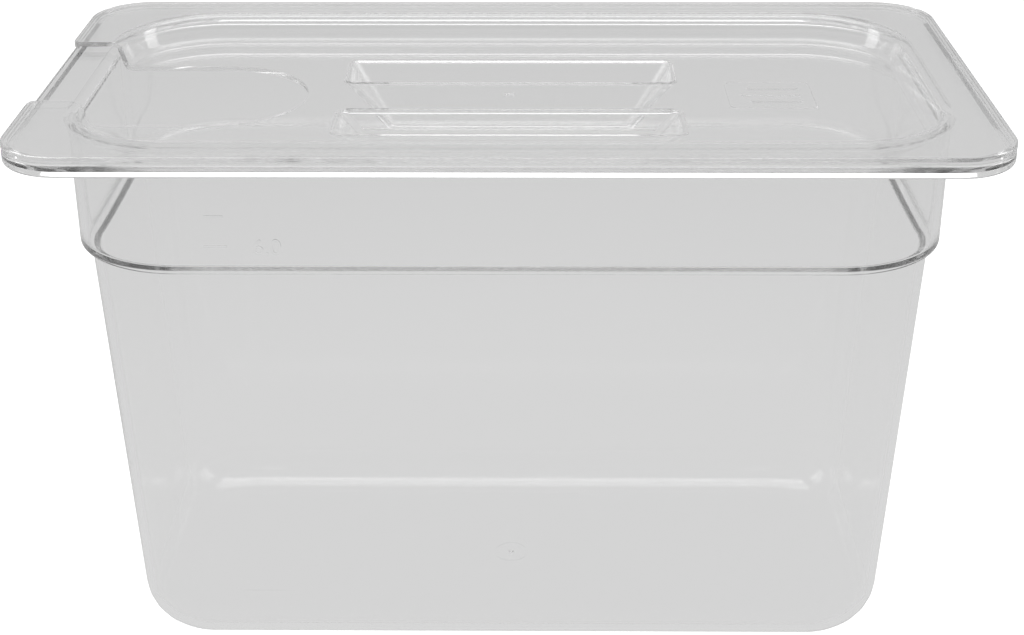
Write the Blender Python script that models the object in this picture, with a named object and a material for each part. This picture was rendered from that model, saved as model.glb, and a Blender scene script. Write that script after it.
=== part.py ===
"""Third-size gastronorm food pan, 200 mm deep, in clear polycarbonate, with its notched lift-off lid.

Metres, +Z up. The origin is the centre of the pan's underside, +X runs along the length
and the lid's serving notch opens at the -X end.
"""

import math

import bpy
from mathutils import Vector

MM = 0.001

# Clear polycarbonate, base colours of the two mouldings.
PAN_COLOUR = (0.80, 0.81, 0.82)
LID_COLOUR = (0.76, 0.77, 0.78)
PLASTIC_ROUGHNESS = 0.08
PLASTIC_TRANSMISSION = 0.9
PLASTIC_IOR = 1.585
SHARP_ANGLE = math.radians(30)

# Gastronorm third size: both rims share this outline.
RIM_LENGTH = 325 * MM
RIM_WIDTH = 176 * MM
RIM_CORNER = 21.5 * MM
# Body corners are concentric: their radius is this less the inset from the rim outline.
BODY_CORNER = 53 * MM
LEAST_CORNER = 6 * MM
# Inset of the ring that closes the flat middle of each floor.
CAP_INSET = RIM_WIDTH / 3
CORNER_STEPS = 8
FILLET_STEPS = 4

# Pan. Every inset is measured inwards from the rim outline.
PAN_HEIGHT = 200 * MM
PAN_WALL = 2.8 * MM
PAN_LIP_HEIGHT = 4.2 * MM
PAN_LIP_WIDTH = 4.1 * MM
PAN_LIP_FOOT_WIDTH = 1.9 * MM
PAN_LIP_SLOPE_RISE = 1.3 * MM
PAN_NECK_INSET = 14.5 * MM
PAN_NECK_FILLET = 1.5 * MM
PAN_MOUTH_FILLET = 4 * MM
SHOULDER_TOP = 156.7 * MM
SHOULDER_BOTTOM = 155.3 * MM
SHOULDER_STEP = 3.6 * MM
SHOULDER_ROUND = 1 * MM
WALL_DRAFT = 0.046
FOOT_FILLET = 17.3 * MM
EDGE_ROUND = 1 * MM

# Lid.
SEAT_GAP = 0.3 * MM
LID_SHEET = 1.7 * MM
LID_LIP_HEIGHT = 2.5 * MM
LID_LIP_WIDTH = 2.4 * MM
LID_BOTTOM = PAN_HEIGHT + SEAT_GAP
LID_TOP = LID_BOTTOM + LID_LIP_HEIGHT
RECESS_DEPTH = 9.2 * MM
RECESS_TOP_INSET = 17.6 * MM
RECESS_FOOT_INSET = 20.6 * MM
RECESS_TOP_FILLET = 3.6 * MM
RECESS_FOOT_FILLET = 2 * MM
PANEL_TOP = LID_TOP - RECESS_DEPTH
LID_EDGE_ROUND = 0.8 * MM

# Finger wells on both sides of the handle bar, sunk in the lid's panel.
WELL_DEPTH = 17 * MM
WELL_HALF_LENGTH = 59.5 * MM
WELL_FOOT_HALF_LENGTH = 44.3 * MM
BAR_HALF_WIDTH = 15.5 * MM
BAR_FOOT_HALF_WIDTH = 17.2 * MM
WELL_FAR_SIDE = 40.5 * MM
WELL_FOOT_FAR_SIDE = 21.2 * MM
WELL_CORNER = 2.5 * MM
WELL_FOOT_CORNER = 1.5 * MM
# Sideways growth of the outer form, so that the sloping walls keep a full sheet's thickness.
WELL_WALL = 2.2 * MM

# Serving notch, open at the lid's -X end.
NOTCH_HALF_WIDTH = 33.3 * MM
NOTCH_FOOT_HALF_WIDTH = 32.1 * MM
NOTCH_CENTRE = -104.5 * MM
NOTCH_MOUTH_ROUND = 4 * MM
CUT_MARGIN = 8 * MM


def clear_scene():
    for thing in list(bpy.data.objects):
        bpy.data.objects.remove(thing, do_unlink=True)


def new_collection(name):
    collection = bpy.data.collections.new(name)
    bpy.context.scene.collection.children.link(collection)
    return collection


def plastic(name, colour):
    material = bpy.data.materials.new(name)
    material.use_nodes = True
    shader = material.node_tree.nodes["Principled BSDF"]
    shader.inputs["Base Color"].default_value = (*colour, 1)
    shader.inputs["Metallic"].default_value = 0
    shader.inputs["Roughness"].default_value = PLASTIC_ROUGHNESS
    shader.inputs["IOR"].default_value = PLASTIC_IOR
    shader.inputs["Transmission Weight"].default_value = PLASTIC_TRANSMISSION
    return material


def rounded_path(corners, steps):
    """A profile through (inset, height, fillet radius) corners, with each fillet as an arc."""
    path = []
    for number, (inset, height, radius) in enumerate(corners):
        here = Vector((inset, height))
        if radius == 0 or number in (0, len(corners) - 1):
            path.append(here)
            continue
        back = (Vector(corners[number - 1][:2]) - here).normalized()
        ahead = (Vector(corners[number + 1][:2]) - here).normalized()
        half_angle = back.angle(ahead) / 2
        start = here + back * radius / math.tan(half_angle)
        centre = here + (back + ahead).normalized() * radius / math.sin(half_angle)
        turn = math.pi - 2 * half_angle
        if back.x * ahead.y - back.y * ahead.x > 0:
            turn = -turn
        spoke = start - centre
        for step in range(steps + 1):
            angle = turn * step / steps
            cosine, sine = math.cos(angle), math.sin(angle)
            path.append(centre + Vector((spoke.x * cosine - spoke.y * sine,
                                         spoke.x * sine + spoke.y * cosine)))
    return path


def rounded_rectangle(half_length, half_width, radius, centre=(0, 0)):
    """Points of a rounded rectangle, anticlockwise from the +X side."""
    points = []
    for quarter in range(4):
        side_x = 1 if quarter in (0, 3) else -1
        side_y = 1 if quarter in (0, 1) else -1
        for step in range(CORNER_STEPS + 1):
            angle = (quarter + step / CORNER_STEPS) * math.pi / 2
            points.append((centre[0] + side_x * (half_length - radius) + radius * math.cos(angle),
                           centre[1] + side_y * (half_width - radius) + radius * math.sin(angle)))
    return points


def corner_radius(inset):
    """Corner radius of a ring: tight on the outer lip, wide on the body."""
    if inset < PAN_LIP_WIDTH + EDGE_ROUND:
        return RIM_CORNER - inset
    return max(BODY_CORNER - inset, LEAST_CORNER)


def loft(name, rings, collection, smooth=True):
    """A closed solid through rings of equally many points, with a flat cap at both ends."""
    count = len(rings[0])
    vertices = [point for ring in rings for point in ring]
    faces = [list(range(count))]
    for level in range(len(rings) - 1):
        for here in range(count):
            ahead = (here + 1) % count
            faces.append([level * count + here, (level + 1) * count + here,
                          (level + 1) * count + ahead, level * count + ahead])
    faces.append([(len(rings) - 1) * count + here for here in reversed(range(count))])
    mesh = bpy.data.meshes.new(name)
    mesh.from_pydata(vertices, [], faces)
    if smooth:
        mesh.shade_smooth()
        mesh.set_sharp_from_angle(angle=SHARP_ANGLE)
        mesh.polygons[0].use_smooth = False
        mesh.polygons[-1].use_smooth = False
    thing = bpy.data.objects.new(name, mesh)
    collection.objects.link(thing)
    return thing


def shell(name, corners, collection):
    """A moulded sheet: a profile of insets carried round the rim outline."""
    rings = []
    for inset, height in rounded_path(corners, FILLET_STEPS):
        outline = rounded_rectangle(RIM_LENGTH / 2 - inset, RIM_WIDTH / 2 - inset,
                                    corner_radius(inset))
        rings.append([(x, y, height) for x, y in outline])
    return loft(name, rings, collection)


def shifted_corner(first, second, distance, inset=None, height=None):
    """Where the line through two profile points, moved sideways, meets an inset or a height."""
    first, second = Vector(first), Vector(second)
    along = (second - first).normalized()
    start = first + Vector((-along.y, along.x)) * distance
    if inset is not None:
        reach = (inset - start.x) / along.x
    else:
        reach = (height - start.y) / along.y
    point = start + along * reach
    return point.x, point.y


def make_pan(collection):
    inner_neck = PAN_NECK_INSET + PAN_WALL
    outer_step = PAN_NECK_INSET + SHOULDER_STEP
    inner_step = outer_step + PAN_WALL
    ledge = ((PAN_NECK_INSET, SHOULDER_TOP), (outer_step, SHOULDER_BOTTOM))
    ledge_top = shifted_corner(*ledge, PAN_WALL, inset=inner_neck)
    ledge_foot = shifted_corner(*ledge, PAN_WALL, inset=inner_step)
    inner_foot = inner_step + (ledge_foot[1] - PAN_WALL) * WALL_DRAFT
    outer_foot = outer_step + SHOULDER_BOTTOM * WALL_DRAFT
    lip_foot = PAN_HEIGHT - PAN_LIP_HEIGHT
    rim_underside = PAN_HEIGHT - PAN_WALL
    corners = [
        (CAP_INSET, PAN_WALL, 0),
        (inner_foot, PAN_WALL, FOOT_FILLET - PAN_WALL),
        (*ledge_foot, PAN_WALL),
        (*ledge_top, EDGE_ROUND),
        (inner_neck, PAN_HEIGHT, PAN_MOUTH_FILLET),
        (0, PAN_HEIGHT, EDGE_ROUND),
        (0, lip_foot, EDGE_ROUND),
        (PAN_LIP_FOOT_WIDTH, lip_foot, 0),
        (PAN_LIP_WIDTH, lip_foot + PAN_LIP_SLOPE_RISE, 0),
        (PAN_LIP_WIDTH, rim_underside, 0),
        (PAN_NECK_INSET, rim_underside, PAN_NECK_FILLET),
        (PAN_NECK_INSET, SHOULDER_TOP, SHOULDER_ROUND),
        (outer_step, SHOULDER_BOTTOM, 0),
        (outer_foot, 0, FOOT_FILLET),
        (CAP_INSET, 0, 0),
    ]
    pan = shell("food_pan", corners, collection)
    pan.data.materials.append(plastic("pan_polycarbonate", PAN_COLOUR))
    return pan


def well_block(name, level, foot, grow, side, collection):
    """The form of one finger well between two heights, grown outwards by a margin."""
    rings = []
    for height in (level, foot):
        share = (PANEL_TOP - height) / WELL_DEPTH
        length = WELL_HALF_LENGTH + (WELL_FOOT_HALF_LENGTH - WELL_HALF_LENGTH) * share + grow
        near = BAR_HALF_WIDTH + (BAR_FOOT_HALF_WIDTH - BAR_HALF_WIDTH) * share - grow
        far = WELL_FAR_SIDE + (WELL_FOOT_FAR_SIDE - WELL_FAR_SIDE) * share + grow
        sharpening = (WELL_FOOT_CORNER - WELL_CORNER) * min(max(share, 0), 1)
        radius = WELL_CORNER + sharpening + grow / 2
        outline = rounded_rectangle(length, (far - near) / 2, radius, (0, side * (near + far) / 2))
        rings.append([(x, y, height) for x, y in outline])
    return loft(name, rings, collection, smooth=False)


def notch_outline(half_width):
    """Slot with a round inner end; its mouth flares to round off the lid's two corners."""
    edge = -RIM_LENGTH / 2
    outside = edge - CUT_MARGIN
    flare = NOTCH_MOUTH_ROUND
    points = [(outside, half_width + flare)]
    for step in range(CORNER_STEPS + 1):
        angle = math.pi + step / CORNER_STEPS * math.pi / 2
        points.append((edge + flare + flare * math.cos(angle),
                       half_width + flare + flare * math.sin(angle)))
    for step in range(2 * CORNER_STEPS + 1):
        angle = math.pi / 2 - step / CORNER_STEPS * math.pi / 2
        points.append((NOTCH_CENTRE + half_width * math.cos(angle), half_width * math.sin(angle)))
    mirrored = [(x, -y) for x, y in reversed(points[:CORNER_STEPS + 2])]
    return points + mirrored


def combine(thing, other, operation):
    modifier = thing.modifiers.new(f"{operation.lower()}_{other.name}", "BOOLEAN")
    modifier.operation = operation
    modifier.solver = "EXACT"
    modifier.object = other
    other.hide_render = True
    other.display_type = "WIRE"


def make_lid(collection, cutters):
    wall = ((RECESS_TOP_INSET, LID_TOP), (RECESS_FOOT_INSET, PANEL_TOP))
    flange_underside = LID_TOP - LID_SHEET
    panel_underside = PANEL_TOP - LID_SHEET
    wall_top = shifted_corner(*wall, -LID_SHEET, height=flange_underside)
    wall_foot = shifted_corner(*wall, -LID_SHEET, height=panel_underside)
    corners = [
        (CAP_INSET, PANEL_TOP, 0),
        (RECESS_FOOT_INSET, PANEL_TOP, RECESS_FOOT_FILLET),
        (RECESS_TOP_INSET, LID_TOP, RECESS_TOP_FILLET),
        (0, LID_TOP, LID_EDGE_ROUND),
        (0, LID_BOTTOM, LID_EDGE_ROUND),
        (LID_LIP_WIDTH, LID_BOTTOM, 0),
        (LID_LIP_WIDTH, flange_underside, 0),
        (*wall_top, RECESS_TOP_FILLET - LID_SHEET),
        (*wall_foot, RECESS_FOOT_FILLET + LID_SHEET),
        (CAP_INSET, panel_underside, 0),
    ]
    lid = shell("lid", corners, collection)
    lid.data.materials.append(plastic("lid_polycarbonate", LID_COLOUR))

    well_foot = PANEL_TOP - WELL_DEPTH
    inside_sheet = PANEL_TOP - LID_SHEET / 2
    for side, word in ((1, "far"), (-1, "near")):
        outer = well_block(f"well_form_{word}", inside_sheet, well_foot - LID_SHEET,
                           WELL_WALL, side, cutters)
        combine(lid, outer, "UNION")
    for side, word in ((1, "far"), (-1, "near")):
        inner = well_block(f"well_hollow_{word}", PANEL_TOP + CUT_MARGIN / 2, well_foot,
                           0, side, cutters)
        combine(lid, inner, "DIFFERENCE")

    rings = []
    for height, half_width in ((panel_underside - CUT_MARGIN, NOTCH_FOOT_HALF_WIDTH),
                               (LID_TOP + CUT_MARGIN / 2, NOTCH_HALF_WIDTH)):
        rings.append([(x, y, height) for x, y in notch_outline(half_width)])
    combine(lid, loft("notch_cutter", rings, cutters, smooth=False), "DIFFERENCE")
    return lid


def main():
    clear_scene()
    collection = new_collection("deli_food_pan")
    cutters = new_collection("cutters")
    make_pan(collection)
    make_lid(collection, cutters)


main()
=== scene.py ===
"""Looks of the clear food pan and its notched lid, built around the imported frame.

Metres, +Z up, in the row frame: the origin is the centre of the pan's underside.
"""
import math

import bmesh
import bpy
from mathutils import Euler, Matrix, Vector


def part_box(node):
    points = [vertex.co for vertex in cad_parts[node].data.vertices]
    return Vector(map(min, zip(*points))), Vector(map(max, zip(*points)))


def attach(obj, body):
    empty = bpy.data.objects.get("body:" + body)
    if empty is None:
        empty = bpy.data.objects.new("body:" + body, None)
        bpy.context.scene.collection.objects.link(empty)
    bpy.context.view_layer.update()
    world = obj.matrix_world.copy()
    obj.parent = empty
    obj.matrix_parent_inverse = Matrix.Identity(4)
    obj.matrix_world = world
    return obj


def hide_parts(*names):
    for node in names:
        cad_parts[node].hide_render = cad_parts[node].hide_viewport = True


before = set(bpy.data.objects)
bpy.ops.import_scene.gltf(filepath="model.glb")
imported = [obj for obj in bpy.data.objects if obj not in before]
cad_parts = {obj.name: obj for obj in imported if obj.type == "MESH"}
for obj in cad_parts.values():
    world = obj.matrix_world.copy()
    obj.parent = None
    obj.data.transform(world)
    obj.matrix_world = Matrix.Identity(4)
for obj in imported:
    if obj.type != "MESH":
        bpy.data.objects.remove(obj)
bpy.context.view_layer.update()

MM = 0.001

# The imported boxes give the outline; the heights and insets below repeat the CAD's.
LID_LIP_HEIGHT = 2.5 * MM
pan_low, pan_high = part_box("food_pan")
lid_low, lid_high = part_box("lid")
RIM_LENGTH = pan_high[0] - pan_low[0]
RIM_WIDTH = pan_high[1] - pan_low[1]
PAN_HEIGHT = pan_high[2]
LID_BOTTOM = lid_high[2] - LID_LIP_HEIGHT
LID_TOP = lid_high[2]

RIM_CORNER = 21.5 * MM
BODY_CORNER = 53 * MM
LEAST_CORNER = 6 * MM
CORNER_STEPS = 28
FILLET_STEPS = 7
CAP_INSET = RIM_WIDTH / 3
SHARP_ANGLE = math.radians(25)
WELD_DISTANCE = 0.01 * MM
FULL_WEIGHT = 100

PAN_WALL = 2.8 * MM
PAN_LIP_HEIGHT = 4.2 * MM
PAN_LIP_WIDTH = 4.1 * MM
PAN_LIP_FOOT_WIDTH = 1.9 * MM
PAN_LIP_SLOPE_RISE = 1.3 * MM
PAN_NECK_INSET = 14.5 * MM
PAN_NECK_FILLET = 1.5 * MM
PAN_MOUTH_FILLET = 4 * MM
SHOULDER_TOP = 156.7 * MM
SHOULDER_BOTTOM = 155.3 * MM
SHOULDER_STEP = 3.6 * MM
SHOULDER_ROUND = 1 * MM
WALL_DRAFT = 0.046
FOOT_FILLET = 17.3 * MM
EDGE_ROUND = 1 * MM

LID_SHEET = 1.7 * MM
LID_LIP_WIDTH = 2.4 * MM
RECESS_DEPTH = 9.2 * MM
RECESS_TOP_INSET = 17.6 * MM
RECESS_FOOT_INSET = 20.6 * MM
RECESS_TOP_FILLET = 3.6 * MM
RECESS_FOOT_FILLET = 2 * MM
PANEL_TOP = LID_TOP - RECESS_DEPTH
LID_EDGE_ROUND = 0.8 * MM

WELL_DEPTH = 17 * MM
WELL_HALF_LENGTH = 59.5 * MM
WELL_FOOT_HALF_LENGTH = 44.3 * MM
BAR_HALF_WIDTH = 15.5 * MM
BAR_FOOT_HALF_WIDTH = 17.2 * MM
WELL_FAR_SIDE = 40.5 * MM
WELL_FOOT_FAR_SIDE = 21.2 * MM
WELL_CORNER = 2.5 * MM
WELL_FOOT_CORNER = 1.5 * MM
WELL_CORNER_STEPS = 6
WELL_MOUTH_ROUND = 1.2 * MM
WELL_FOOT_ROUND = 1.4 * MM
WELL_APRON = 2.6 * MM

# Heights and half lengths of the volume scale's ticks, then its numbers.
SCALE_PLACE = -95.3 * MM
SCALE_TICKS = ((177.2 * MM, 3.1 * MM), (166.7 * MM, 3.8 * MM))
SCALE_NUMBERS = (("6.0", -78.5 * MM, 166.2 * MM),)
NUMBER_SIZE = 8 * MM
MARK_RISE = 0.3 * MM
MARK_SINK = 0.5 * MM
FRAME_CENTRE = (92.5 * MM, 0.5 * MM)
FRAME_HALF_LENGTH = 15.5 * MM
FRAME_HALF_WIDTH = 14.5 * MM
FRAME_LINE = 0.7 * MM
FRAME_CORNER = 3 * MM
FRAME_RISE = 0.32 * MM
FRAME_BAR_STEP = 7 * MM
FRAME_BAR_SHIFT = 1.5 * MM
FRAME_BAR_MARGIN = 5 * MM
FRAME_BAR_HALF_WIDTH = 1.1 * MM
FRAME_BAR_CORNER = 0.9 * MM
TICK_HALF_HEIGHT = 0.35 * MM
NUMBER_STEPS = 3
LID_GATE_PLACE = (0, 1.3 * MM)
LID_GATE_RADIUS = 2.2 * MM
LID_GATE_RISE = 0.45 * MM
LID_GATE_TAPER = 0.5 * MM
# Centres and half lengths of the two pads on the floor.
FLOOR_PADS = ((-81 * MM, 27 * MM), (70.5 * MM, 23.5 * MM))
FLOOR_PAD_CENTRE = -2.5 * MM
FLOOR_PAD_HALF_WIDTH = 26.5 * MM
FLOOR_PAD_CORNER = 5 * MM
FLOOR_PAD_TAPER = 1.5 * MM
FLOOR_MARK_RISE = 0.06 * MM
FLOOR_RING_OUTER = 6.8 * MM
FLOOR_RING_INNER = 6.2 * MM
FLOOR_RING_STEPS = 48
FLOOR_GATE_RADIUS = 1.2 * MM
FLOOR_GATE_RISE = 0.5 * MM
FLOOR_GATE_TAPER = 0.4 * MM

NOTCH_HALF_WIDTH = 33.3 * MM
NOTCH_FOOT_HALF_WIDTH = 32.1 * MM
NOTCH_CENTRE = -104.5 * MM
NOTCH_MOUTH_ROUND = 4 * MM
CUT_MARGIN = 8 * MM


# ---------------------------------------------------------------- mesh tools

def rounded_rectangle(half_length, half_width, radius, height, centre=(0, 0), steps=CORNER_STEPS):
    """Points of a rounded rectangle, anticlockwise from the +X side."""
    points = []
    for quarter in range(4):
        side_x = 1 if quarter in (0, 3) else -1
        side_y = 1 if quarter in (0, 1) else -1
        for step in range(steps + 1):
            angle = (quarter + step / steps) * math.pi / 2
            points.append(Vector((
                centre[0] + side_x * (half_length - radius) + radius * math.cos(angle),
                centre[1] + side_y * (half_width - radius) + radius * math.sin(angle),
                height)))
    return points


def filleted(corners, steps):
    """A path through (point, radius) corners, in two or three dimensions, with arcs at the corners."""
    path = []
    for number, (here, radius) in enumerate(corners):
        if radius == 0 or number in (0, len(corners) - 1):
            path.append(here)
            continue
        back = (corners[number - 1][0] - here).normalized()
        ahead = (corners[number + 1][0] - here).normalized()
        half_angle = back.angle(ahead) / 2
        reach = radius / math.tan(half_angle)
        centre = here + (back + ahead).normalized() * radius / math.sin(half_angle)
        first = here + back * reach - centre
        last = here + ahead * reach - centre
        turn = math.pi - 2 * half_angle
        for step in range(steps + 1):
            share = step / steps
            spoke = (first * math.sin((1 - share) * turn) + last * math.sin(share * turn))
            path.append(centre + spoke / math.sin(turn))
    return path


def skin(bm, rings):
    """Quads between closed rings of equally many vertices; returns the rings' vertices."""
    made = [[bm.verts.new(point) for point in ring] for ring in rings]
    count = len(made[0])
    for lower, upper in zip(made, made[1:]):
        for here in range(count):
            ahead = (here + 1) % count
            bm.faces.new((lower[here], upper[here], upper[ahead], lower[ahead]))
    return made


def filleted_skin(bm, rings, radii, steps):
    """A skin through rings whose running profile is filleted with one radius a ring."""
    meridians = []
    for points in zip(*rings):
        meridians.append(filleted(list(zip(points, radii)), steps))
    return skin(bm, list(zip(*meridians)))


def ring_edges(ring):
    """The edges that close a ring of vertices."""
    edges = []
    for here, vertex in enumerate(ring):
        other = ring[(here + 1) % len(ring)]
        edges += [edge for edge in vertex.link_edges if edge.other_vert(vertex) == other]
    return edges


def fill_between(bm, rings):
    """Flat fill of the area between an outer ring and the holes in it."""
    edges = [edge for ring in rings for edge in ring_edges(ring)]
    bmesh.ops.triangle_fill(bm, use_beauty=True, use_dissolve=False, edges=edges)


def corner_radius(inset):
    """Corner radius of a ring: tight on the outer lip, wide on the body."""
    if inset < PAN_LIP_WIDTH + EDGE_ROUND:
        return RIM_CORNER - inset
    return max(BODY_CORNER - inset, LEAST_CORNER)


def shell_rings(corners):
    """A sheet's rings from its (inset, height, fillet radius) corners."""
    flat_corners = [(Vector((inset, height)), radius) for inset, height, radius in corners]
    rings = []
    for inset, height in filleted(flat_corners, FILLET_STEPS):
        rings.append(rounded_rectangle(RIM_LENGTH / 2 - inset, RIM_WIDTH / 2 - inset,
                                       corner_radius(inset), height))
    return rings


def shifted_corner(first, second, distance, inset=None, height=None):
    """Where the line through two profile points, moved sideways, meets an inset or a height."""
    first, second = Vector(first), Vector(second)
    along = (second - first).normalized()
    start = first + Vector((-along.y, along.x)) * distance
    if inset is not None:
        reach = (inset - start.x) / along.x
    else:
        reach = (height - start.y) / along.y
    point = start + along * reach
    return point.x, point.y


def finish_mesh(bm, name):
    bmesh.ops.recalc_face_normals(bm, faces=bm.faces)
    mesh = bpy.data.meshes.new(name)
    bm.to_mesh(mesh)
    bm.free()
    mesh.shade_smooth()
    mesh.set_sharp_from_angle(angle=SHARP_ANGLE)
    thing = bpy.data.objects.new(name, mesh)
    bpy.context.scene.collection.objects.link(thing)
    return thing


def apply_boolean(thing, other, operation):
    modifier = thing.modifiers.new(operation.lower(), "BOOLEAN")
    modifier.operation = operation
    modifier.solver = "EXACT"
    modifier.object = other
    graph = bpy.context.evaluated_depsgraph_get()
    cut = bpy.data.meshes.new_from_object(thing.evaluated_get(graph))
    thing.modifiers.remove(modifier)
    thing.data = cut
    bpy.data.objects.remove(other, do_unlink=True)


def weigh_normals(thing):
    """Keeps the flats flat where they meet fillets, so that they bend no light."""
    thing.data.shade_smooth()
    thing.data.set_sharp_from_angle(angle=SHARP_ANGLE)
    modifier = thing.modifiers.new("flat_normals", "WEIGHTED_NORMAL")
    modifier.mode = "FACE_AREA"
    modifier.weight = FULL_WEIGHT
    modifier.keep_sharp = True


# ---------------------------------------------------------------- pan

def build_pan():
    inner_neck = PAN_NECK_INSET + PAN_WALL
    outer_step = PAN_NECK_INSET + SHOULDER_STEP
    inner_step = outer_step + PAN_WALL
    ledge = ((PAN_NECK_INSET, SHOULDER_TOP), (outer_step, SHOULDER_BOTTOM))
    ledge_top = shifted_corner(*ledge, PAN_WALL, inset=inner_neck)
    ledge_foot = shifted_corner(*ledge, PAN_WALL, inset=inner_step)
    inner_foot = inner_step + (ledge_foot[1] - PAN_WALL) * WALL_DRAFT
    outer_foot = outer_step + SHOULDER_BOTTOM * WALL_DRAFT
    lip_foot = PAN_HEIGHT - PAN_LIP_HEIGHT
    rim_underside = PAN_HEIGHT - PAN_WALL
    corners = [
        (CAP_INSET, PAN_WALL, 0),
        (inner_foot, PAN_WALL, FOOT_FILLET - PAN_WALL),
        (*ledge_foot, PAN_WALL),
        (*ledge_top, EDGE_ROUND),
        (inner_neck, PAN_HEIGHT, PAN_MOUTH_FILLET),
        (0, PAN_HEIGHT, EDGE_ROUND),
        (0, lip_foot, EDGE_ROUND),
        (PAN_LIP_FOOT_WIDTH, lip_foot, 0),
        (PAN_LIP_WIDTH, lip_foot + PAN_LIP_SLOPE_RISE, 0),
        (PAN_LIP_WIDTH, rim_underside, 0),
        (PAN_NECK_INSET, rim_underside, PAN_NECK_FILLET),
        (PAN_NECK_INSET, SHOULDER_TOP, SHOULDER_ROUND),
        (outer_step, SHOULDER_BOTTOM, 0),
        (outer_foot, 0, FOOT_FILLET),
        (CAP_INSET, 0, 0),
    ]
    bm = bmesh.new()
    rings = skin(bm, shell_rings(corners))
    bm.faces.new(rings[0])
    bm.faces.new(rings[-1])
    return finish_mesh(bm, "clear_pan")


# ---------------------------------------------------------------- moulded marks

def mark_block(bm, outline, low, high, taper=0.0):
    """A raised plate on a flat: its outline at the foot and a slightly smaller one on top."""
    middle = sum(outline, Vector((0, 0))) / len(outline)
    foot = [Vector((point.x, point.y, low)) for point in outline]
    top = []
    for point in outline:
        inward = (middle - point).normalized() * taper
        top.append(Vector((point.x + inward.x, point.y + inward.y, high)))
    rings = skin(bm, [foot, top])
    bm.faces.new(rings[0])
    bm.faces.new(rings[-1])


def plate_outline(centre, half_length, half_width, radius, steps=5):
    points = rounded_rectangle(half_length, half_width, radius, 0, centre, steps)
    return [Vector((point.x, point.y)) for point in points]


def disc_outline(centre, radius, steps=32):
    return [Vector((centre[0] + radius * math.cos(2 * math.pi * step / steps),
                    centre[1] + radius * math.sin(2 * math.pi * step / steps)))
            for step in range(steps)]


def mark_ring(bm, outer, inner, low, high):
    """A raised line between two outlines of equally many points."""
    levels = ((outer, low), (outer, high), (inner, high), (inner, low))
    rings = [[Vector((point.x, point.y, height)) for point in outline]
             for outline, height in levels]
    made = skin(bm, rings)
    count = len(outer)
    for here in range(count):
        ahead = (here + 1) % count
        bm.faces.new((made[-1][here], made[0][here], made[0][ahead], made[-1][ahead]))


def add_marks(thing, build):
    """Joins small closed raised forms, sunk a little into the sheet, with a moulding."""
    bm = bmesh.new()
    build(bm)
    apply_boolean(thing, finish_mesh(bm, "marks"), "UNION")


def lid_marks(bm):
    """A plain raised frame with three bars, and the gate mark on the handle bar."""
    low, high = PANEL_TOP - MARK_SINK, PANEL_TOP + FRAME_RISE
    outer = plate_outline(FRAME_CENTRE, FRAME_HALF_LENGTH, FRAME_HALF_WIDTH, FRAME_CORNER)
    inner = plate_outline(FRAME_CENTRE, FRAME_HALF_LENGTH - FRAME_LINE,
                          FRAME_HALF_WIDTH - FRAME_LINE, FRAME_CORNER - FRAME_LINE)
    mark_ring(bm, outer, inner, low, high)
    for row in (-1, 0, 1):
        shift = abs(row) * FRAME_BAR_SHIFT
        centre = (FRAME_CENTRE[0] + shift, FRAME_CENTRE[1] + row * FRAME_BAR_STEP)
        half_length = FRAME_HALF_LENGTH - FRAME_BAR_MARGIN - shift
        bar = plate_outline(centre, half_length, FRAME_BAR_HALF_WIDTH, FRAME_BAR_CORNER)
        mark_block(bm, bar, low, high)
    gate = disc_outline(LID_GATE_PLACE, LID_GATE_RADIUS)
    mark_block(bm, gate, low, PANEL_TOP + LID_GATE_RISE, LID_GATE_TAPER)


def scale_marks(bm):
    """A volume scale on the near wall above the shoulder: raised ticks and generic numbers."""
    outside = RIM_WIDTH / 2 - PAN_NECK_INSET
    for height, half_length in SCALE_TICKS:
        wall_plate(bm, SCALE_PLACE, height, half_length, TICK_HALF_HEIGHT, -outside)
    for text, place, height in SCALE_NUMBERS:
        wall_text(bm, text, place, height, -outside)


def wall_plate(bm, place, height, half_length, half_height, wall):
    corners = [(place - half_length, height - half_height), (place + half_length, height - half_height),
               (place + half_length, height + half_height), (place - half_length, height + half_height)]
    rings = skin(bm, [[Vector((x, y, z)) for x, z in corners]
                      for y in (wall + MARK_SINK, wall - MARK_RISE)])
    bm.faces.new(rings[0])
    bm.faces.new(rings[-1])


def wall_text(bm, text, place, height, wall):
    curve = bpy.data.curves.new("number", "FONT")
    curve.body = text
    curve.size = NUMBER_SIZE
    curve.extrude = (MARK_SINK + MARK_RISE) / 2
    curve.resolution_u = NUMBER_STEPS
    curve.align_x = "CENTER"
    curve.align_y = "CENTER"
    thing = bpy.data.objects.new("number", curve)
    bpy.context.scene.collection.objects.link(thing)
    graph = bpy.context.evaluated_depsgraph_get()
    mesh = bpy.data.meshes.new_from_object(thing.evaluated_get(graph))
    turn = Matrix.Rotation(math.pi / 2, 4, "X")
    middle = wall + (MARK_SINK - MARK_RISE) / 2
    mesh.transform(Matrix.Translation((place, middle, height)) @ turn)
    start = len(bm.verts)
    bm.from_mesh(mesh)
    bm.verts.ensure_lookup_table()
    bmesh.ops.remove_doubles(bm, verts=bm.verts[start:], dist=WELD_DISTANCE)
    bpy.data.objects.remove(thing, do_unlink=True)


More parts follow.
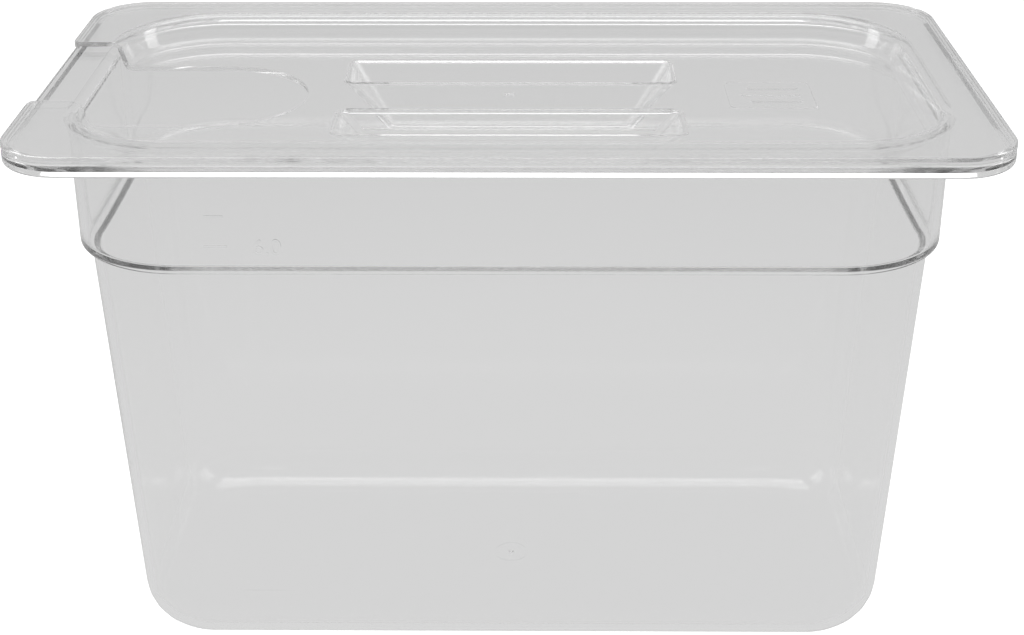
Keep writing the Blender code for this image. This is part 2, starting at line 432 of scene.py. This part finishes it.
def pan_marks(bm):
    """On the floor's inside: two broad pads, and a ring round the gate mark."""
    low, high = PAN_WALL - MARK_SINK, PAN_WALL + FLOOR_MARK_RISE
    for centre_x, half_length in FLOOR_PADS:
        pad = plate_outline((centre_x, FLOOR_PAD_CENTRE), half_length, FLOOR_PAD_HALF_WIDTH,
                            FLOOR_PAD_CORNER)
        mark_block(bm, pad, low, high, FLOOR_PAD_TAPER)
    outer = disc_outline((0, 0), FLOOR_RING_OUTER, FLOOR_RING_STEPS)
    inner = disc_outline((0, 0), FLOOR_RING_INNER, FLOOR_RING_STEPS)
    mark_ring(bm, outer, inner, low, high)
    gate = disc_outline((0, 0), FLOOR_GATE_RADIUS)
    mark_block(bm, gate, low, PAN_WALL + FLOOR_GATE_RISE, FLOOR_GATE_TAPER)


# ---------------------------------------------------------------- lid

def well_rings(level, foot, sheet, side):
    """Apron, mouth, foot and floor rings of one finger well, walls moved out by a sheet."""
    def share(height):
        return (PANEL_TOP - height) / WELL_DEPTH

    def wall(mouth, base):
        """Half size and outward growth of a wall that keeps the sheet's full thickness."""
        slope = (base - mouth) / WELL_DEPTH
        return mouth, base - mouth, sheet * math.hypot(1, slope)

    length, length_change, length_grow = wall(WELL_HALF_LENGTH, WELL_FOOT_HALF_LENGTH)
    near, near_change, near_grow = wall(BAR_HALF_WIDTH, BAR_FOOT_HALF_WIDTH)
    far, far_change, far_grow = wall(WELL_FAR_SIDE, WELL_FOOT_FAR_SIDE)

    def ring(height, corner, out=0):
        at = share(height)
        half_length = length + length_change * at + length_grow + out
        edge_near = near + near_change * at - near_grow - out
        edge_far = far + far_change * at + far_grow + out
        return rounded_rectangle(half_length, (edge_far - edge_near) / 2, corner, height,
                                 (0, side * (edge_near + edge_far) / 2), WELL_CORNER_STEPS)

    apron = ring(level, WELL_CORNER + WELL_APRON, WELL_APRON)
    mouth = ring(level, WELL_CORNER + sheet / 2)
    base = ring(foot, WELL_FOOT_CORNER + sheet / 2)
    middle = Vector((0, sum((point.y for point in base)) / len(base), foot))
    shrink = []
    for point in base:
        offset = point - middle
        shrink.append(middle + Vector((offset.x * 0.9, offset.y * 0.25, 0)))
    return [apron, mouth, base, shrink]


def build_lid():
    wall = ((RECESS_TOP_INSET, LID_TOP), (RECESS_FOOT_INSET, PANEL_TOP))
    flange_underside = LID_TOP - LID_SHEET
    panel_underside = PANEL_TOP - LID_SHEET
    wall_top = shifted_corner(*wall, -LID_SHEET, height=flange_underside)
    wall_foot = shifted_corner(*wall, -LID_SHEET, height=panel_underside)
    rim_inset = RECESS_FOOT_INSET + 2 * RECESS_FOOT_FILLET
    corners = [
        (rim_inset, PANEL_TOP, 0),
        (RECESS_FOOT_INSET, PANEL_TOP, RECESS_FOOT_FILLET),
        (RECESS_TOP_INSET, LID_TOP, RECESS_TOP_FILLET),
        (0, LID_TOP, LID_EDGE_ROUND),
        (0, LID_BOTTOM, LID_EDGE_ROUND),
        (LID_LIP_WIDTH, LID_BOTTOM, 0),
        (LID_LIP_WIDTH, flange_underside, 0),
        (*wall_top, RECESS_TOP_FILLET - LID_SHEET),
        (*wall_foot, RECESS_FOOT_FILLET + LID_SHEET),
        (rim_inset, panel_underside, 0),
    ]
    bm = bmesh.new()
    rings = skin(bm, shell_rings(corners))
    well_foot = PANEL_TOP - WELL_DEPTH
    upper, lower = [rings[0]], [rings[-1]]
    for side in (1, -1):
        hollow = filleted_skin(bm, well_rings(PANEL_TOP, well_foot, 0, side),
                               (0, WELL_MOUTH_ROUND, WELL_FOOT_ROUND, 0), FILLET_STEPS)
        upper.append(hollow[0])
        bm.faces.new(hollow[-1])
        form = filleted_skin(bm, well_rings(panel_underside, well_foot - LID_SHEET, LID_SHEET, side),
                             (0, WELL_MOUTH_ROUND, WELL_FOOT_ROUND + LID_SHEET / 2, 0), FILLET_STEPS)
        lower.append(form[0])
        bm.faces.new(form[-1])
    fill_between(bm, upper)
    fill_between(bm, lower)
    return finish_mesh(bm, "clear_lid")


def notch_outline(half_width, height):
    """Slot with a round inner end; its mouth flares to round off the lid's two corners."""
    edge = -RIM_LENGTH / 2
    flare = NOTCH_MOUTH_ROUND
    points = [(edge - CUT_MARGIN, half_width + flare)]
    for step in range(CORNER_STEPS + 1):
        angle = math.pi + step / CORNER_STEPS * math.pi / 2
        points.append((edge + flare + flare * math.cos(angle),
                       half_width + flare + flare * math.sin(angle)))
    for step in range(4 * CORNER_STEPS + 1):
        angle = math.pi / 2 - step / (2 * CORNER_STEPS) * math.pi / 2
        points.append((NOTCH_CENTRE + half_width * math.cos(angle), half_width * math.sin(angle)))
    mirrored = [(x, -y) for x, y in reversed(points[:CORNER_STEPS + 2])]
    return [Vector((x, y, height)) for x, y in points + mirrored]


def cut_notch(lid):
    bm = bmesh.new()
    rings = skin(bm, [
        notch_outline(NOTCH_FOOT_HALF_WIDTH, PANEL_TOP - LID_SHEET - CUT_MARGIN),
        notch_outline(NOTCH_HALF_WIDTH, LID_TOP + CUT_MARGIN / 2)])
    bm.faces.new(rings[0])
    bm.faces.new(rings[-1])
    apply_boolean(lid, finish_mesh(bm, "notch_cutter"), "DIFFERENCE")


# ---------------------------------------------------------------- material

def node(tree, kind, **values):
    made = tree.nodes.new(kind)
    for name, value in values.items():
        setattr(made, name, value)
    return made


PLASTIC_IOR = 1.585
PLASTIC_TINT = 0.985
LAMP_LIGHT_PASSING = 0.98
ABSORPTION_PER_METRE = 1.3
RIPPLE_STRENGTH = 0.04
RIPPLE_HEIGHT = 0.1 * MM
RIPPLE_SCALE = 14
SCUFF_SCALE = 60
GLOSSIEST = 0.015
DULLEST = 0.07


def clear_plastic(name):
    """Glossy clear moulding: fine moulding ripple, scuffs in the gloss, light let through as tinted."""
    material = bpy.data.materials.new(name)
    material.use_nodes = True
    tree = material.node_tree
    tree.nodes.clear()
    link = tree.links.new
    output = node(tree, "ShaderNodeOutputMaterial")
    shader = node(tree, "ShaderNodeBsdfPrincipled")
    shader.inputs["Base Color"].default_value = (PLASTIC_TINT, PLASTIC_TINT, PLASTIC_TINT, 1)
    shader.inputs["Metallic"].default_value = 0
    shader.inputs["IOR"].default_value = PLASTIC_IOR
    shader.inputs["Transmission Weight"].default_value = 1

    place = node(tree, "ShaderNodeTexCoord")
    scuffs = node(tree, "ShaderNodeTexNoise")
    scuffs.inputs["Scale"].default_value = SCUFF_SCALE
    scuffs.inputs["Detail"].default_value = 6
    scuffs.inputs["Roughness"].default_value = 0.6
    link(place.outputs["Object"], scuffs.inputs["Vector"])
    gloss = node(tree, "ShaderNodeMapRange")
    gloss.inputs["From Min"].default_value = 0.35
    gloss.inputs["From Max"].default_value = 0.75
    gloss.inputs["To Min"].default_value = GLOSSIEST
    gloss.inputs["To Max"].default_value = DULLEST
    link(scuffs.outputs["Fac"], gloss.inputs["Value"])
    link(gloss.outputs["Result"], shader.inputs["Roughness"])

    ripple = node(tree, "ShaderNodeTexNoise")
    ripple.inputs["Scale"].default_value = RIPPLE_SCALE
    ripple.inputs["Detail"].default_value = 2
    link(place.outputs["Object"], ripple.inputs["Vector"])
    bump = node(tree, "ShaderNodeBump")
    bump.inputs["Strength"].default_value = RIPPLE_STRENGTH
    bump.inputs["Distance"].default_value = RIPPLE_HEIGHT
    link(ripple.outputs["Fac"], bump.inputs["Height"])
    link(bump.outputs["Normal"], shader.inputs["Normal"])

    clear = node(tree, "ShaderNodeBsdfTransparent")
    passing = (LAMP_LIGHT_PASSING, LAMP_LIGHT_PASSING, LAMP_LIGHT_PASSING, 1)
    clear.inputs["Color"].default_value = passing
    rays = node(tree, "ShaderNodeLightPath")
    for_lamps = node(tree, "ShaderNodeMixShader")
    link(rays.outputs["Is Shadow Ray"], for_lamps.inputs["Fac"])
    link(shader.outputs["BSDF"], for_lamps.inputs[1])
    link(clear.outputs["BSDF"], for_lamps.inputs[2])
    for_floor = node(tree, "ShaderNodeMixShader")
    link(rays.outputs["Is Diffuse Ray"], for_floor.inputs["Fac"])
    link(for_lamps.outputs["Shader"], for_floor.inputs[1])
    link(clear.outputs["BSDF"], for_floor.inputs[2])
    link(for_floor.outputs["Shader"], output.inputs["Surface"])
    depth = node(tree, "ShaderNodeVolumeAbsorption")
    depth.inputs["Color"].default_value = (0, 0, 0, 1)
    depth.inputs["Density"].default_value = ABSORPTION_PER_METRE
    link(depth.outputs["Volume"], output.inputs["Volume"])
    return material


# ---------------------------------------------------------------- studio

CAMERA_PLACE = Vector((0.0069, -0.6150, 0.4015))
CAMERA_PITCH = math.radians(25.74)
CAMERA_YAW = math.radians(0.595)
CAMERA_ROLL = math.radians(-0.142)
LENS = 63.75
SENSOR = 36
CAMERA_SHIFT = 0.00217
NEAREST_SEEN = 0.01


def add_camera():
    data = bpy.data.cameras.new("camera")
    data.lens = LENS
    data.sensor_width = SENSOR
    data.sensor_fit = "HORIZONTAL"
    data.shift_y = CAMERA_SHIFT
    data.clip_start = NEAREST_SEEN
    camera = bpy.data.objects.new("camera", data)
    bpy.context.scene.collection.objects.link(camera)
    turn = Euler((math.pi / 2 - CAMERA_PITCH, 0, CAMERA_YAW), "XYZ").to_matrix()
    roll = Euler((0, 0, CAMERA_ROLL), "XYZ").to_matrix()
    camera.matrix_world = (turn @ roll).to_4x4()
    camera.location = CAMERA_PLACE
    bpy.context.scene.camera = camera


# Light runs far inside clear walls, so paths end only after many bounces.
LONGEST_PATH = 128
SURROUND = 0.64
# The floor seen through the plastic glows with painted light, brighter near the object and dimmer away
# from it, in place of the lamps' falloff.
FLOOR_NEAR_PAINTED_LIGHT = 0.69
FLOOR_FAR_PAINTED_LIGHT = 0.57
FLOOR_NEAR = 0.2
FLOOR_FAR = 1
TOP_POWER = 5.4
SIDE_POWER = 2.2
FLOOR_HALF_SIZE = 3
FLOOR_DROP = 0.2 * MM
FLOOR_PAINT = 0.6
FLOOR_GLOW = 0.7


def softbox(name, place, aim, size, power):
    data = bpy.data.lights.new(name, "AREA")
    data.shape = "RECTANGLE"
    data.size, data.size_y = size
    data.energy = power
    lamp = bpy.data.objects.new(name, data)
    bpy.context.scene.collection.objects.link(lamp)
    lamp.location = place
    lamp.rotation_euler = (Vector(aim) - Vector(place)).to_track_quat("-Z", "Y").to_euler()
    return lamp


def by_camera(tree, seen, through):
    """White where the camera sees it directly, the surround's grey behind clear plastic."""
    rays = node(tree, "ShaderNodeLightPath")
    mix = node(tree, "ShaderNodeMixShader")
    tree.links.new(rays.outputs["Is Camera Ray"], mix.inputs["Fac"])
    tree.links.new(through, mix.inputs[1])
    tree.links.new(seen, mix.inputs[2])
    return mix.outputs["Shader"]


def add_studio():
    world = bpy.data.worlds.new("studio")
    bpy.context.scene.world = world
    world.use_nodes = True
    tree = world.node_tree
    tree.nodes.clear()
    seen = node(tree, "ShaderNodeBackground")
    seen.inputs["Color"].default_value = (1, 1, 1, 1)
    through = node(tree, "ShaderNodeBackground")
    through.inputs["Color"].default_value = (SURROUND, SURROUND, SURROUND, 1)
    output = node(tree, "ShaderNodeOutputWorld")
    tree.links.new(by_camera(tree, seen.outputs[0], through.outputs[0]), output.inputs["Surface"])

    bm = bmesh.new()
    corners = [bm.verts.new((x * FLOOR_HALF_SIZE, y * FLOOR_HALF_SIZE, 0))
               for x, y in ((-1, -1), (1, -1), (1, 1), (-1, 1))]
    bm.faces.new(corners)
    floor = finish_mesh(bm, "floor")
    floor.location.z = -FLOOR_DROP
    material = bpy.data.materials.new("floor_white")
    material.use_nodes = True
    tree = material.node_tree
    tree.nodes.clear()
    paint = node(tree, "ShaderNodeBsdfDiffuse")
    paint.inputs["Color"].default_value = (FLOOR_PAINT, FLOOR_PAINT, FLOOR_PAINT, 1)
    glow = node(tree, "ShaderNodeEmission")
    glow.inputs["Color"].default_value = (FLOOR_GLOW, FLOOR_GLOW, FLOOR_GLOW, 1)
    seen = node(tree, "ShaderNodeAddShader")
    tree.links.new(paint.outputs[0], seen.inputs[0])
    tree.links.new(glow.outputs[0], seen.inputs[1])
    # Painted light: behind the plastic the floor glows, brighter near the object and dimmer away from
    # it.
    through = node(tree, "ShaderNodeEmission")
    place = node(tree, "ShaderNodeTexCoord")
    distance = node(tree, "ShaderNodeVectorMath", operation="LENGTH")
    tree.links.new(place.outputs["Object"], distance.inputs[0])
    painted_light_falloff = node(tree, "ShaderNodeMapRange")
    painted_light_falloff.inputs["From Min"].default_value = FLOOR_NEAR
    painted_light_falloff.inputs["From Max"].default_value = FLOOR_FAR
    painted_light_falloff.inputs["To Min"].default_value = FLOOR_NEAR_PAINTED_LIGHT
    painted_light_falloff.inputs["To Max"].default_value = FLOOR_FAR_PAINTED_LIGHT
    tree.links.new(distance.outputs["Value"], painted_light_falloff.inputs["Value"])
    tree.links.new(painted_light_falloff.outputs["Result"], through.inputs["Strength"])
    output = node(tree, "ShaderNodeOutputMaterial")
    tree.links.new(by_camera(tree, seen.outputs[0], through.outputs[0]), output.inputs["Surface"])
    floor.data.materials.append(material)

    softbox("top_light", (0, 0.28, 1.3), (0, 0.05, 0.1), (1.6, 0.7), TOP_POWER)
    for side, word in ((-1, "left"), (1, "right")):
        softbox(f"{word}_light", (side * 1.3, 0.25, 0.55), (0, 0, 0.1), (0.45, 1.0), SIDE_POWER)


# ---------------------------------------------------------------- put together

scene = bpy.context.scene
scene.view_settings.view_transform = "Standard"
scene.cycles.max_bounces = LONGEST_PATH
scene.cycles.transmission_bounces = LONGEST_PATH
scene.cycles.glossy_bounces = LONGEST_PATH
scene.cycles.transparent_max_bounces = LONGEST_PATH

pan = build_pan()
add_marks(pan, pan_marks)
add_marks(pan, scale_marks)
pan.data.materials.clear()
pan.data.materials.append(clear_plastic("pan_clear_plastic"))
weigh_normals(pan)
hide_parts("food_pan")
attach(pan, "pan")

lid = build_lid()
cut_notch(lid)
add_marks(lid, lid_marks)
lid.data.materials.clear()
lid.data.materials.append(clear_plastic("lid_clear_plastic"))
weigh_normals(lid)
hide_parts("lid")
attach(lid, "lid")

add_camera()
add_studio()
